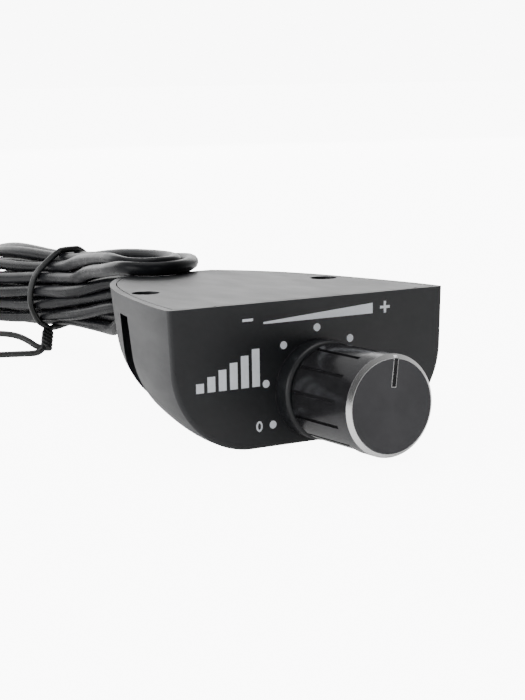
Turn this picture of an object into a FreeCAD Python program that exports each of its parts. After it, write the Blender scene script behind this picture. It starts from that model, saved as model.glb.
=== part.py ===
# Wired remote level control for a powered car subwoofer.
# The row frame stands the box on its underside: +Z is up, -Y is the knob side, the origin is below
# the middle of the box and knob. Everything is in millimetres.
import FreeCAD, Part
import math
import os

V = FreeCAD.Vector

# ---- driving dimensions -------------------------------------------------------------------------
FACE_Y = -20.0            # front face of the housing
TOP_Z = 21.8              # top plane, which screws against the dashboard
WIDTH = 48.9              # housing width at the front face
DEPTH = 45.0              # front face to rear wall
SIDE_R = 128.0            # plan radius of the long side curve
SIDE_TILT = 5.2           # degrees the side already turns inwards at the front face
SIDE_LENGTH = 30.6        # where the side curve ends and the tighter rear curve starts
REAR_R = 37.0             # plan radius of the rear curve
UNDER_R = 137.0           # side-view radius of the underside
CORNER_R = 13.5           # lower corners of the front face
FRONT_DRAFT = 2.5         # degrees the sides lean in towards the bottom at the front face
REAR_DRAFT = 9.0          # the same at the rear wall
FACE_EDGE_R = 0.6         # rounding round the front face
WALL = 2.0                # shell wall
SECTION_STEPS = (0.0, 11.0, 22.0, 32.0, 39.0, 45.0)

RIM = 1.1                 # width of the shell's rim round the cover
FRONT_RIM = 0.8           # the rim is thinner along the front face
COVER_T = 1.7             # cover thickness
COVER_GAP = 0.2           # gap between the cover and the rim
TAB_W = 3.0               # front tabs of the cover
TAB_X = 18.0
TAB_REACH = 0.3

SCREW_SPACING = 33.0      # mounting holes, side to side
SCREW_Y = 21.7            # mounting holes, behind the front face
SCREW_HOLE_R = 2.2
CHANNEL_R = 4.4           # screwdriver channel under each hole
SEAT_DROP = 3.2           # screw seat below the top plane
BOSS_R = 5.5

KNOB_X = 0.8              # knob axis
KNOB_DROP = 13.75         # knob axis below the top plane
KNOB_R = 7.5              # plain collar at the front of the knob
GRIP_R = 7.3              # grooved grip
KNOB_REAR = 3.74          # rear of the knob in front of the face
KNOB_FRONT = 19.0         # front of the knob in front of the face
KNOB_COLLAR = 2.8         # plain length at the front
CHAMFER = 0.6
GROOVES = 12
POINTER_ANGLE = 7.0       # clockwise from the top
COLLAR_R = 7.5            # raised ring on the housing face
COLLAR_H = 3.2
COLLAR_BORE_R = 6.3

BUSHING_R = 3.45          # M7 bushing of the potentiometer
BUSHING_REACH = 4.6       # bushing in front of the face
SHAFT_R = 3.0
SHAFT_FIT = 0.05          # radial running clearance
POT_W = 9.8
POT_UP = 6.5              # axis to the board
POT_DOWN = 5.0
POT_PLATE_T = 0.9
POT_CASE_T = 5.6

BOARD_W = 20.0
BOARD_T = 1.2
BOARD_START = 3.5         # behind the front face
BOARD_END = 34.0
BOARD_SCREW_X = 7.0
BOARD_SCREW_Y = 31.0

CORD_R = 1.2              # cable radius
EXIT_DROP = 8.5           # cable exit below the top plane
RELIEF_END = 58.2         # end of the strain relief behind the front face

# ---- places worked out from them ------------------------------------------------------------------
KNOB_Z = TOP_Z - KNOB_DROP
EXIT_Z = TOP_Z - EXIT_DROP
REAR_Y = FACE_Y + DEPTH
RELIEF_Y = FACE_Y + RELIEF_END
BOARD_Z = KNOB_Z + POT_UP
SCREW_X = SCREW_SPACING / 2


# ---- helpers --------------------------------------------------------------------------------------
def cylinder_y(radius, y_start, y_end, x=0.0, z=0.0):
    """Cylinder along +Y between two Y values."""
    return Part.makeCylinder(radius, y_end - y_start, V(x, y_start, z), V(0, 1, 0))


def cylinder_z(radius, z_start, z_end, x=0.0, y=0.0):
    """Cylinder along +Z between two Z values."""
    return Part.makeCylinder(radius, z_end - z_start, V(x, y, z_start), V(0, 0, 1))


def box(x0, x1, y0, y1, z0, z1):
    """Box between two corners."""
    return Part.makeBox(x1 - x0, y1 - y0, z1 - z0, V(x0, y0, z0))


def turned(profile, x, z):
    """Solid turned about the line along Y through (x, z); the profile lists (radius, y)."""
    points = [V(x + radius, y, z) for radius, y in profile]
    face = Part.Face(Part.makePolygon(points + [points[0]]))
    return face.revolve(V(x, 0, z), V(0, 1, 0), 360)


def about_y(shape, degrees, x, z):
    """Copy of a shape turned about the line along Y through (x, z)."""
    copy = shape.copy()
    copy.rotate(V(x, 0, z), V(0, 1, 0), degrees)
    return copy


def half_width(depth):
    """Half the housing's width at a distance behind the front face: two tangent arcs in plan."""
    tilt = math.radians(SIDE_TILT)
    side_x = WIDTH / 2 - SIDE_R * math.cos(tilt)
    side_y = -SIDE_R * math.sin(tilt)
    if depth <= SIDE_LENGTH:
        return side_x + math.sqrt(SIDE_R ** 2 - (depth - side_y) ** 2)
    turn = math.asin((SIDE_LENGTH - side_y) / SIDE_R)
    rear_x = side_x + (SIDE_R - REAR_R) * math.cos(turn)
    rear_y = side_y + (SIDE_R - REAR_R) * math.sin(turn)
    return rear_x + math.sqrt(REAR_R ** 2 - (depth - rear_y) ** 2)


def body_height(depth):
    """Housing height at a distance behind the front face."""
    return TOP_Z - (UNDER_R - math.sqrt(UNDER_R ** 2 - depth ** 2))


def section_wire(depth, inset, top_z):
    """Cross-section of the housing: flat top, sides that lean in, rounded lower corners."""
    lean = math.radians(FRONT_DRAFT + (REAR_DRAFT - FRONT_DRAFT) * depth / DEPTH)
    low = TOP_Z - body_height(depth) + inset
    scaled = CORNER_R * math.sqrt(half_width(depth) / half_width(0))
    radius = min(scaled, 0.8 * half_width(depth)) - inset
    y = FACE_Y + depth

    def side(z):
        return half_width(depth) - inset / math.cos(lean) - (TOP_Z - z) * math.tan(lean)
    end_z = low + radius * (1 - math.sin(lean))
    corner_x = side(end_z) - radius * math.cos(lean)
    turn = (lean + math.pi / 2) / 2
    bend_x = corner_x + radius * math.cos(turn)
    bend_z = low + radius * (1 - math.sin(turn))
    top_x = side(top_z)
    edges = [
        Part.LineSegment(V(-top_x, y, top_z), V(-side(end_z), y, end_z)).toShape(),
        Part.Arc(V(-side(end_z), y, end_z), V(-bend_x, y, bend_z), V(-corner_x, y, low)).toShape(),
        Part.LineSegment(V(-corner_x, y, low), V(corner_x, y, low)).toShape(),
        Part.Arc(V(corner_x, y, low), V(bend_x, y, bend_z), V(side(end_z), y, end_z)).toShape(),
        Part.LineSegment(V(side(end_z), y, end_z), V(top_x, y, top_z)).toShape(),
        Part.LineSegment(V(top_x, y, top_z), V(-top_x, y, top_z)).toShape(),
    ]
    return Part.Wire(edges)


def housing_loft(inset, start, end, top_z):
    """Solid through the housing's cross-sections."""
    depths = [start] + [d for d in SECTION_STEPS if start < d < end] + [end]
    return Part.makeLoft([section_wire(d, inset, top_z) for d in depths], True, False)


def plan_face(inset, front, rear, z):
    """Flat outline of the housing in plan, drawn in by an inset."""
    def side(depth):
        return half_width(depth) - inset
    middle = (front + SIDE_LENGTH) / 2
    late = (SIDE_LENGTH + rear) / 2
    edges = []
    for sign in (1, -1):
        def point(depth):
            return V(sign * side(depth), FACE_Y + depth, z)
        edges.append(Part.Arc(point(front), point(middle), point(SIDE_LENGTH)).toShape())
        edges.append(Part.Arc(point(SIDE_LENGTH), point(late), point(rear)).toShape())
    for depth in (front, rear):
        ends = (V(-side(depth), FACE_Y + depth, z), V(side(depth), FACE_Y + depth, z))
        edges.append(Part.LineSegment(*ends).toShape())
    return Part.Face(Part.Wire(Part.__sortEdges__(edges)))


def route_tube(points, radius):
    """Tube along straight runs joined by tangent arcs; prints its arc radii."""
    nodes = [V(*p) for p in points]
    edges = []
    radii = []
    start = nodes[0]
    for before, corner, after in zip(nodes, nodes[1:], nodes[2:]):
        back = (before - corner).normalize()
        on = (after - corner).normalize()
        short = min((before - corner).Length, (after - corner).Length)
        reach = 0.45 * short
        turn = math.pi - back.getAngle(on)
        arc_r = reach / math.tan(turn / 2)
        radii.append(arc_r)
        first = corner + back * reach
        last = corner + on * reach
        inward = (back + on).normalize()
        centre = corner + inward * (arc_r / math.cos(turn / 2))
        edges.append(Part.LineSegment(start, first).toShape())
        edges.append(Part.Arc(first, centre - inward * arc_r, last).toShape())
        start = last
    edges.append(Part.LineSegment(start, nodes[-1]).toShape())
    path = Part.Wire(edges)
    ring = Part.Wire(Part.makeCircle(radius, nodes[0], nodes[1] - nodes[0]))
    tube = path.makePipeShell([ring], True, False)
    expected = math.pi * radius ** 2 * path.Length
    print("tube length %.1f, volume ratio %.4f, arc radii" % (path.Length, tube.Volume / expected),
          [round(r, 1) for r in radii])
    return tube


def ellipse_wire(section):
    """Upright elliptical section: (y, x, z, half width, half height)."""
    y, x, z, wide, high = section
    stretch = FreeCAD.Matrix()
    stretch.scale(V(wide, 1, high))
    stretch.move(V(x, y, z))
    return Part.Wire(Part.makeCircle(1, V(0, 0, 0), V(0, 1, 0)).transformGeometry(stretch))


def drum(sections):
    """Solid straight from each elliptical section to the next."""
    return Part.makeLoft([ellipse_wire(s) for s in sections], True, True)


def export(name, shape):
    """Write one node, after a check of its solids."""
    solids = shape.Solids
    print("%-18s solids %d valid %s volume %.1f" % (name, len(solids), shape.isValid(), shape.Volume))
    out = solids[0] if len(solids) == 1 else Part.makeCompound(solids)
    out.exportStep("parts/%s.step" % name)


# ---- housing --------------------------------------------------------------------------------------
def make_housing_shell():
    """Moulded shell: half-round front, open top, screw channels, board posts, cable notch."""
    outer = housing_loft(0, 0, DEPTH, TOP_Z)
    rim_edges = [e for e in outer.Edges
                 if abs(e.BoundBox.YMax - FACE_Y) < 0.01 and e.BoundBox.ZMin < TOP_Z - 1]
    outer = outer.makeFillet(FACE_EDGE_R, rim_edges)
    shell = outer.cut(housing_loft(WALL, WALL, DEPTH - WALL, TOP_Z + 1))
    for sign in (1, -1):
        post = cylinder_z(2.2, 0, BOARD_Z, sign * BOARD_SCREW_X, FACE_Y + BOARD_SCREW_Y)
        shell = shell.fuse(post.common(outer))
    ring = cylinder_y(COLLAR_R, FACE_Y - COLLAR_H, FACE_Y + 0.5, KNOB_X, KNOB_Z)
    front_edge = [e for e in ring.Edges if abs(e.BoundBox.YMax - (FACE_Y - COLLAR_H)) < 0.01]
    ring = ring.makeFillet(0.7, front_edge)
    shell = shell.fuse(ring)
    cuts = [cylinder_y(COLLAR_BORE_R, FACE_Y - COLLAR_H - 1, FACE_Y, KNOB_X, KNOB_Z)]
    cuts.append(cylinder_y(BUSHING_R + 0.1, FACE_Y - 1, FACE_Y + WALL + 1, KNOB_X, KNOB_Z))
    recess = plan_face(RIM, FRONT_RIM, DEPTH - 1.3, TOP_Z - COVER_T).extrude(V(0, 0, COVER_T + 1))
    cuts.append(recess)
    for sign in (1, -1):
        cuts.append(cylinder_z(CHANNEL_R, -5, TOP_Z - SEAT_DROP, sign * SCREW_X, FACE_Y + SCREW_Y))
        cuts.append(cylinder_z(SCREW_HOLE_R, TOP_Z - SEAT_DROP - 1, TOP_Z + 1,
                               sign * SCREW_X, FACE_Y + SCREW_Y))
        cuts.append(cylinder_z(0.8, BOARD_Z - 6, BOARD_Z + 1, sign * BOARD_SCREW_X, FACE_Y + BOARD_SCREW_Y))
        tab_y = FACE_Y + FRONT_RIM - TAB_REACH - COVER_GAP
        half = TAB_W / 2 + COVER_GAP
        cuts.append(box(sign * TAB_X - half, sign * TAB_X + half, tab_y, FACE_Y + FRONT_RIM + 1,
                        TOP_Z - COVER_T, TOP_Z + 1))
    cuts.append(cylinder_y(2.9, REAR_Y - WALL - 2, REAR_Y + 1, 0, EXIT_Z))
    cuts.append(box(-2.9, 2.9, REAR_Y - WALL - 2, REAR_Y + 1, EXIT_Z, TOP_Z + 1))
    for piece in cuts:
        shell = shell.cut(piece)
    return shell.removeSplitter()


def make_screw_boss(sign):
    """Boss inside the shell on one side: a screw seat over a channel that breaks through the shell."""
    x = sign * SCREW_X
    y = FACE_Y + SCREW_Y
    cavity = housing_loft(WALL, WALL, DEPTH - WALL, TOP_Z - COVER_T)
    boss = cylinder_z(BOSS_R, 0, TOP_Z, x, y).common(cavity)
    boss = boss.cut(cylinder_z(CHANNEL_R, -5, TOP_Z - SEAT_DROP, x, y))
    return boss.cut(cylinder_z(SCREW_HOLE_R, 0, TOP_Z, x, y))


def make_top_cover():
    """Flush cover with two screw holes, two front tabs, a rear tongue and two snap legs."""
    outline = plan_face(RIM + COVER_GAP, FRONT_RIM + COVER_GAP, DEPTH - 1.3 - COVER_GAP, TOP_Z - COVER_T)
    cover = outline.extrude(V(0, 0, COVER_T))
    for sign in (1, -1):
        tab_front = FACE_Y + FRONT_RIM - TAB_REACH
        cover = cover.fuse(box(sign * TAB_X - TAB_W / 2, sign * TAB_X + TAB_W / 2, tab_front,
                               FACE_Y + FRONT_RIM + 2, TOP_Z - COVER_T, TOP_Z))
        leg_x = sign * 5.0
        leg_y = REAR_Y - WALL - 1.3
        leg = box(leg_x - 1.2, leg_x + 1.2, leg_y, leg_y + 1.0, TOP_Z - COVER_T - 4, TOP_Z - COVER_T)
        cover = cover.fuse(leg)
    for sign in (1, -1):
        cover = cover.cut(cylinder_z(SCREW_HOLE_R, 0, TOP_Z + 1, sign * SCREW_X, FACE_Y + SCREW_Y))
    tongue = box(-2.7, 2.7, REAR_Y - WALL, REAR_Y - 0.1, EXIT_Z + 3.1, TOP_Z)
    return cover.fuse(tongue).removeSplitter()


# ---- electronics ------------------------------------------------------------------------------------
def terminal_places():
    """X places of the potentiometer's three terminals."""
    return [KNOB_X + step * 2.5 for step in (-1, 0, 1)]


def make_circuit_board():
    """Board above the potentiometer, on two posts at the rear."""
    board = box(-BOARD_W / 2, BOARD_W / 2, FACE_Y + BOARD_START, FACE_Y + BOARD_END,
                BOARD_Z, BOARD_Z + BOARD_T)
    corners = [e for e in board.Edges if e.BoundBox.ZLength > BOARD_T / 2]
    board = board.makeFillet(1.0, corners)
    for sign in (1, -1):
        board = board.cut(cylinder_z(1.1, BOARD_Z - 1, BOARD_Z + 3,
                                     sign * BOARD_SCREW_X, FACE_Y + BOARD_SCREW_Y))
    back = FACE_Y + WALL + POT_PLATE_T + POT_CASE_T
    for x in terminal_places():
        board = board.cut(box(x - 0.5, x + 0.5, back - 0.1, back + 0.5, BOARD_Z - 1, BOARD_Z + 3))
    return board


def make_board_screws():
    """Two pan-head screws that hold the board."""
    screws = []
    for sign in (1, -1):
        x = sign * BOARD_SCREW_X
        y = FACE_Y + BOARD_SCREW_Y
        top = BOARD_Z + BOARD_T
        head = cylinder_z(1.9, top, top + 1.4, x, y)
        rounded = [e for e in head.Edges if abs(e.BoundBox.ZMin - (top + 1.4)) < 0.01]
        head = head.makeFillet(0.6, rounded)
        drive = box(x - 1.0, x + 1.0, y - 0.2, y + 0.2, top + 0.7, top + 2)
        cross = box(x - 0.2, x + 0.2, y - 1.0, y + 1.0, top + 0.7, top + 2)
        screw = head.fuse(cylinder_z(0.8, BOARD_Z - 4, top, x, y)).cut(drive.fuse(cross))
        screws.append(screw)
    return Part.makeCompound(screws)


def make_pot_plate():
    """Metal front plate of the potentiometer, with its folded clamps."""
    y0 = FACE_Y + WALL
    plate = box(KNOB_X - POT_W / 2, KNOB_X + POT_W / 2, y0, y0 + POT_PLATE_T,
                KNOB_Z - POT_DOWN, KNOB_Z + POT_UP - 0.3)
    for sign in (1, -1):
        side = KNOB_X + sign * (POT_W / 2 + 0.25)
        plate = plate.fuse(box(side - 0.25, side + 0.25, y0, y0 + POT_PLATE_T + POT_CASE_T,
                               KNOB_Z - 1.5, KNOB_Z + 1.5))
    return plate.cut(cylinder_y(BUSHING_R, y0 - 1, y0 + POT_PLATE_T + 1, KNOB_X, KNOB_Z)).removeSplitter()


def make_pot_case():
    """Rear case of the potentiometer, hollow for the wiper."""
    y0 = FACE_Y + WALL + POT_PLATE_T
    case = box(KNOB_X - POT_W / 2, KNOB_X + POT_W / 2, y0, y0 + POT_CASE_T,
               KNOB_Z - POT_DOWN, KNOB_Z + POT_UP - 0.3)
    return case.cut(cylinder_y(4.4, y0 - 1, y0 + POT_CASE_T - 0.9, KNOB_X, KNOB_Z))


def make_pot_bushing():
    """Threaded M7 bushing, pressed into the front plate."""
    start = FACE_Y - BUSHING_REACH
    end = FACE_Y + WALL + POT_PLATE_T
    crest, root, pitch = BUSHING_R, BUSHING_R - 0.35, 0.75
    profile = [(SHAFT_R + SHAFT_FIT, end), (SHAFT_R + SHAFT_FIT, start), (root, start)]
    y = start + 0.1
    while y + pitch < FACE_Y - 0.1:
        profile += [(root, y), (crest, y + pitch * 0.4), (crest, y + pitch * 0.6), (root, y + pitch * 0.98)]
        y += pitch
    profile += [(crest, y), (crest, end)]
    return turned(profile, KNOB_X, KNOB_Z)


def make_pot_wafer():
    """Resistive wafer at the back of the case."""
    back = FACE_Y + WALL + POT_PLATE_T + POT_CASE_T - 0.9
    wafer = cylinder_y(4.2, back - 0.6, back, KNOB_X, KNOB_Z)
    return wafer.cut(cylinder_y(2.2, back - 1, back + 1, KNOB_X, KNOB_Z))


def make_pot_terminals():
    """Three flat terminals from the back of the case through the board."""
    back = FACE_Y + WALL + POT_PLATE_T + POT_CASE_T
    return Part.makeCompound([box(x - 0.4, x + 0.4, back, back + 0.4, KNOB_Z + 2, BOARD_Z + BOARD_T + 0.8)
                              for x in terminal_places()])


def make_lock_washer():
    """Toothed lock washer under the nut."""
    washer = cylinder_y(5.4, FACE_Y - 0.5, FACE_Y, KNOB_X, KNOB_Z)
    washer = washer.cut(cylinder_y(BUSHING_R + 0.15, FACE_Y - 1, FACE_Y + 1, KNOB_X, KNOB_Z))
    notch = box(KNOB_X - 0.35, KNOB_X + 0.35, FACE_Y - 1, FACE_Y + 1, KNOB_Z + 4.5, KNOB_Z + 6)
    for i in range(12):
        washer = washer.cut(about_y(notch, i * 30, KNOB_X, KNOB_Z))
    return washer


def make_panel_nut():
    """Thin hexagon nut on the bushing."""
    corner = 9.0 / math.sqrt(3)
    points = [V(KNOB_X + corner * math.cos(math.radians(60 * i)), FACE_Y - 2.4,
                KNOB_Z + corner * math.sin(math.radians(60 * i))) for i in range(7)]
    nut = Part.Face(Part.makePolygon(points)).extrude(V(0, 1.9, 0))
    return nut.cut(cylinder_y(BUSHING_R + 0.05, FACE_Y - 5, FACE_Y + 1, KNOB_X, KNOB_Z))


# ---- turning parts ------------------------------------------------------------------------------------
def make_pot_shaft():
    """Six-millimetre shaft with a flat, through the bushing into the knob."""
    end = FACE_Y + WALL + POT_PLATE_T + 3.0
    tip = FACE_Y - KNOB_FRONT + 3.0
    shaft = cylinder_y(SHAFT_R, tip, end, KNOB_X, KNOB_Z)
    flat = box(KNOB_X - 5, KNOB_X + 5, tip - 1, FACE_Y - 7, KNOB_Z - 6, KNOB_Z - SHAFT_R + 1.4)
    return shaft.cut(flat)


def make_wiper_carrier():
    """Plastic disc at the inner end of the shaft."""
    y0 = FACE_Y + WALL + POT_PLATE_T + 0.5
    disc = cylinder_y(4.0, y0, y0 + 1.4, KNOB_X, KNOB_Z)
    return disc.cut(cylinder_y(SHAFT_R, y0 - 1, y0 + 3, KNOB_X, KNOB_Z))


def make_wiper_springs():
    """Two spring fingers that run on the wafer."""
    y0 = FACE_Y + WALL + POT_PLATE_T + 1.9
    fingers = [box(KNOB_X + side - 0.4, KNOB_X + side + 0.4, y0, y0 + 1.4, KNOB_Z - 1.2, KNOB_Z + 1.2)
               for side in (-3.5, 3.5)]
    return Part.makeCompound(fingers)


def make_knob_sleeve():
    """Aluminium sleeve: grooved grip, plain collar, bright chamfer, closed front with a pointer cut."""
    rear = FACE_Y - KNOB_REAR
    front = FACE_Y - KNOB_FRONT
    grip_end = front + CHAMFER + KNOB_COLLAR
    bore_r = 6.3
    web = front + 1.8
    profile = [(0, front), (KNOB_R - CHAMFER, front), (KNOB_R, front + CHAMFER), (KNOB_R, grip_end),
               (GRIP_R, grip_end + 0.2), (GRIP_R, rear - 0.4), (GRIP_R - 0.4, rear), (bore_r, rear),
               (bore_r, web), (0, web)]
    sleeve = turned(profile, KNOB_X, KNOB_Z)
    groove = box(KNOB_X - 0.28, KNOB_X + 0.28, grip_end + 0.3, rear + 1,
                 KNOB_Z + GRIP_R - 0.4, KNOB_Z + GRIP_R + 1)
    for i in range(GROOVES):
        sleeve = sleeve.cut(about_y(groove, POINTER_ANGLE + 360.0 * i / GROOVES, KNOB_X, KNOB_Z))
    pointer = box(KNOB_X - 0.35, KNOB_X + 0.35, front - 1, front + 0.4, KNOB_Z + 2.8, KNOB_Z + KNOB_R + 1)
    return sleeve.cut(about_y(pointer, POINTER_ANGLE, KNOB_X, KNOB_Z)).removeSplitter()


def make_knob_insert():
    """Plastic core pressed into the sleeve, with a D-shaped bore for the shaft."""
    rear = FACE_Y - 5.4
    front = FACE_Y - KNOB_FRONT + 1.8
    core = cylinder_y(6.3, front, rear, KNOB_X, KNOB_Z)
    hollow = cylinder_y(5.3, front + 3, rear + 1, KNOB_X, KNOB_Z)
    hub = cylinder_y(4.3, front, rear, KNOB_X, KNOB_Z)
    ribs = box(KNOB_X - 6, KNOB_X + 6, front, rear - 1, KNOB_Z - 0.5, KNOB_Z + 0.5)
    ribs = ribs.fuse(box(KNOB_X - 0.5, KNOB_X + 0.5, front, rear - 1, KNOB_Z - 6, KNOB_Z + 6))
    core = core.cut(hollow).fuse(hub).fuse(ribs)
    return core.cut(make_pot_shaft()).removeSplitter()


# ---- cable --------------------------------------------------------------------------------------------
def make_strain_relief():
    """Rubber strain relief held by its groove in the rear wall, with a ribbed tapered tail."""
    inner = REAR_Y - WALL
    profile = [(CORD_R, inner - 1.5), (3.8, inner - 1.5), (3.8, inner), (2.8, inner), (2.8, REAR_Y),
               (3.8, REAR_Y), (3.8, REAR_Y + 1.2), (2.9, REAR_Y + 1.6)]
    ribs = 5
    start = REAR_Y + 1.6
    step = (RELIEF_Y - 1.2 - start) / ribs
    for i in range(ribs):
        radius = 2.8 - 0.2 * i
        y = start + step * i
        profile += [(radius, y + step * 0.6), (radius - 0.5, y + step * 0.62), (radius - 0.5, y + step * 0.98),
                    (radius - 0.2, y + step)]
    profile += [(1.8, RELIEF_Y), (CORD_R, RELIEF_Y)]
    return turned(profile, 0, EXIT_Z)


def make_cable_inside():
    """Cable from the strain relief's end into the housing."""
    return cylinder_y(CORD_R, FACE_Y + BOARD_END + 1.5, RELIEF_Y, 0, EXIT_Z)


def make_inner_tie():
    """Nylon tie that stops the cable from pulling out."""
    y = REAR_Y - WALL - 4.5
    band = cylinder_y(CORD_R + 0.8, y, y + 1.8, 0, EXIT_Z)
    head = box(-1.5, 1.5, y - 0.2, y + 2.0, EXIT_Z - CORD_R - 2.4, EXIT_Z - CORD_R - 0.4)
    return band.fuse(head).cut(cylinder_y(CORD_R, y - 1, y + 3, 0, EXIT_Z)).removeSplitter()


def make_lead_wires():
    """Three wires from the cable to the board's underside."""
    wires = []
    start_y = FACE_Y + BOARD_END + 1.5
    for i in (-1, 0, 1):
        points = [(i * 0.7, start_y, EXIT_Z - 0.2), (i * 1.6, start_y - 2.2, EXIT_Z - 0.8),
                  (i * 2.4, start_y - 4.4, EXIT_Z - 0.3), (i * 2.6, start_y - 5.6, BOARD_Z)]
        wires.append(route_tube(points, 0.4))
    return Part.makeCompound(wires)


LEAD_ROUTE = [(0, RELIEF_Y, EXIT_Z), (0, 42.5, 12.9), (0.1, 47.5, 11.4), (0.8, 53.0, 9.9),
              (2.1, 59.0, 8.9), (3.7, 65.0, 8.5), (5.0, 71.0, 8.6)]

# Hank sections: (y, x, z, half width, half height). It is narrowest where it is tied.
TIED_SECTION = (86.0, 7.0, 13.9, 6.6, 7.5)
HANK_SECTIONS = [
    (36.0, 12.5, 15.4, 9.0, 6.0),
    (50.0, 11.0, 15.4, 8.8, 6.6),
    (68.0, 8.8, 14.8, 7.8, 7.2),
    TIED_SECTION,
    (110.0, 10.0, 12.0, 9.0, 9.2),
    (150.0, 13.0, 8.9, 12.0, 8.2),
    (185.0, 15.0, 7.6, 14.0, 7.1),
    (210.0, 16.0, 7.0, 13.0, 6.0),
]
UPPER_LOOPS = [
    (18.5, 2.0, 24.6, 8.0, 2.4),
    (30.0, 2.2, 24.8, 9.5, 2.6),
    (46.0, 4.2, 23.2, 9.0, 2.8),
    (62.0, 6.0, 20.0, 7.5, 2.8),
]
TIE_WIRE_R = 0.65
TIE_TILT = 30.0           # the tie leans forwards at the top


def make_cable_hank():
    """Outer shape of the hank: the tied bundle, and the loops that lie on the cover."""
    return drum(HANK_SECTIONS).fuse(drum(UPPER_LOOPS)).removeSplitter()


def make_twist_tie():
    """Coated wire once round the hank, its two ends twisted together below."""
    y, x, z, wide, high = TIED_SECTION
    reach = TIE_WIRE_R + 0.15
    path = ellipse_wire((0, 0, 0, wide + reach, (high + reach) / math.cos(math.radians(TIE_TILT))))
    path.rotate(V(0, 0, 0), V(1, 0, 0), TIE_TILT)
    path.translate(V(x, y, z))
    start = path.Vertexes[0].Point
    tangent = path.Edges[0].tangentAt(path.Edges[0].FirstParameter)
    ring = path.makePipeShell([Part.Wire(Part.makeCircle(TIE_WIRE_R, start, tangent))], True, False)
    tail = Part.makeCylinder(1.1, 4.2, V(x - 2.6, y + 2.0, z - high - 1.9), V(-0.1, -0.7, -0.5))
    return Part.makeCompound([ring, tail])


END_ROUTE = [(12.0, 210.0, 5.0), (12.4, 219.0, 3.0), (10.5, 228.0, 1.6), (3.5, 234.5, 1.3),
             (-5.5, 234.0, 1.3), (-11.5, 227.0, 1.5), (-13.5, 218.0, 2.4), (-13.6, 209.0, 3.5)]
PLUG_X, PLUG_Y, PLUG_Z = END_ROUTE[-1]
PLUG_R = 3.4


def make_plug_grip():
    """Moulded grip of the 3.5 mm plug, with a short ribbed relief."""
    y = PLUG_Y
    profile = [(0, y), (1.9, y), (1.9, y - 1.5), (1.5, y - 1.6), (1.5, y - 2.4), (2.2, y - 2.6), (2.2, y - 4.0),
               (1.7, y - 4.1), (1.7, y - 4.9), (2.5, y - 5.2), (PLUG_R, y - 8.0), (PLUG_R, y - 19.0),
               (3.0, y - 20.0), (0, y - 20.0)]
    return turned(profile, PLUG_X, PLUG_Z)


def plug_piece(start, end, radius, nose=0.0):
    """One metal or plastic ring of the plug's pin, measured from the grip's face."""
    face = PLUG_Y - 20.0
    profile = [(0, face - start), (radius, face - start), (radius, face - end + nose),
               (radius - nose * 0.8, face - end), (0, face - end)]
    return turned(profile, PLUG_X, PLUG_Z)


def make_plug_sleeve():
    """Sleeve contact."""
    return plug_piece(0, 6.6, 1.75)


def make_plug_ring():
    """Ring contact."""
    return plug_piece(7.4, 9.6, 1.75)


def make_plug_tip():
    """Rounded tip with its waist."""
    face = PLUG_Y - 20.0
    profile = [(0, face - 10.4), (1.75, face - 10.4), (1.75, face - 11.2), (1.2, face - 12.0),
               (1.6, face - 12.9), (0.5, face - 14.0), (0, face - 14.0)]
    return turned(profile, PLUG_X, PLUG_Z)


def make_plug_insulators():
    """Two black rings between the contacts."""
    return Part.makeCompound([plug_piece(6.6, 7.4, 1.65), plug_piece(9.6, 10.4, 1.65)])


# ---- assembly -------------------------------------------------------------------------------------
os.makedirs("parts", exist_ok=True)
export("housing_shell", make_housing_shell())
export("screw_boss_right", make_screw_boss(1))
export("screw_boss_left", make_screw_boss(-1))
export("top_cover", make_top_cover())
export("circuit_board", make_circuit_board())
export("board_screws", make_board_screws())
export("pot_plate", make_pot_plate())
export("pot_case", make_pot_case())
export("pot_bushing", make_pot_bushing())
export("pot_wafer", make_pot_wafer())
export("pot_terminals", make_pot_terminals())
export("lock_washer", make_lock_washer())
export("panel_nut", make_panel_nut())
export("pot_shaft", make_pot_shaft())
export("wiper_carrier", make_wiper_carrier())
export("wiper_springs", make_wiper_springs())
export("knob_sleeve", make_knob_sleeve())
export("knob_insert", make_knob_insert())
export("strain_relief", make_strain_relief())
export("cable_inside", make_cable_inside())
export("inner_tie", make_inner_tie())
export("lead_wires", make_lead_wires())
export("cable_lead", route_tube(LEAD_ROUTE, CORD_R))
export("cable_hank", make_cable_hank())
export("cable_end", route_tube(END_ROUTE, CORD_R))
export("twist_tie", make_twist_tie())
export("plug_grip", make_plug_grip())
export("plug_sleeve", make_plug_sleeve())
export("plug_ring", make_plug_ring())
export("plug_tip", make_plug_tip())
export("plug_insulators", make_plug_insulators())
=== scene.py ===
"""Looks of a wired remote level control: matte box, fluted knob, tied hank of thin cable.

Lengths are in millimetres unless a name or a comment says otherwise.
"""
import math
import random

import bmesh
import bpy
import numpy as np
from mathutils import Matrix, Vector


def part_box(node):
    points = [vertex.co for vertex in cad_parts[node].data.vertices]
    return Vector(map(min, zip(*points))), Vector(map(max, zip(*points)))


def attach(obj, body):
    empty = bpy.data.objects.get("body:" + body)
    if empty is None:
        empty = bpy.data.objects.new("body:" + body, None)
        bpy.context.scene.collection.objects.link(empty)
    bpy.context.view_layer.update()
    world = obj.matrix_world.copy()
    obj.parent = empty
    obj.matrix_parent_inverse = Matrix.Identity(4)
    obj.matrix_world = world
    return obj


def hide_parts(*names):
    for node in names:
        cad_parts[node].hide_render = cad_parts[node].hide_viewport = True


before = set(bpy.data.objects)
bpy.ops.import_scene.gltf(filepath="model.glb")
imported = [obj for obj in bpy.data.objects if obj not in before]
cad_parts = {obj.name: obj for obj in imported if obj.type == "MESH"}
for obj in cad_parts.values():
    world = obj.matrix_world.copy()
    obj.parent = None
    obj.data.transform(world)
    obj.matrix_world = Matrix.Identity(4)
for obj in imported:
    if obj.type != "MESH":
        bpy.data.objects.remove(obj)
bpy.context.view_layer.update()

MM = 0.001
TOP_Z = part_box("top_cover")[1][2] / MM
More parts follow.
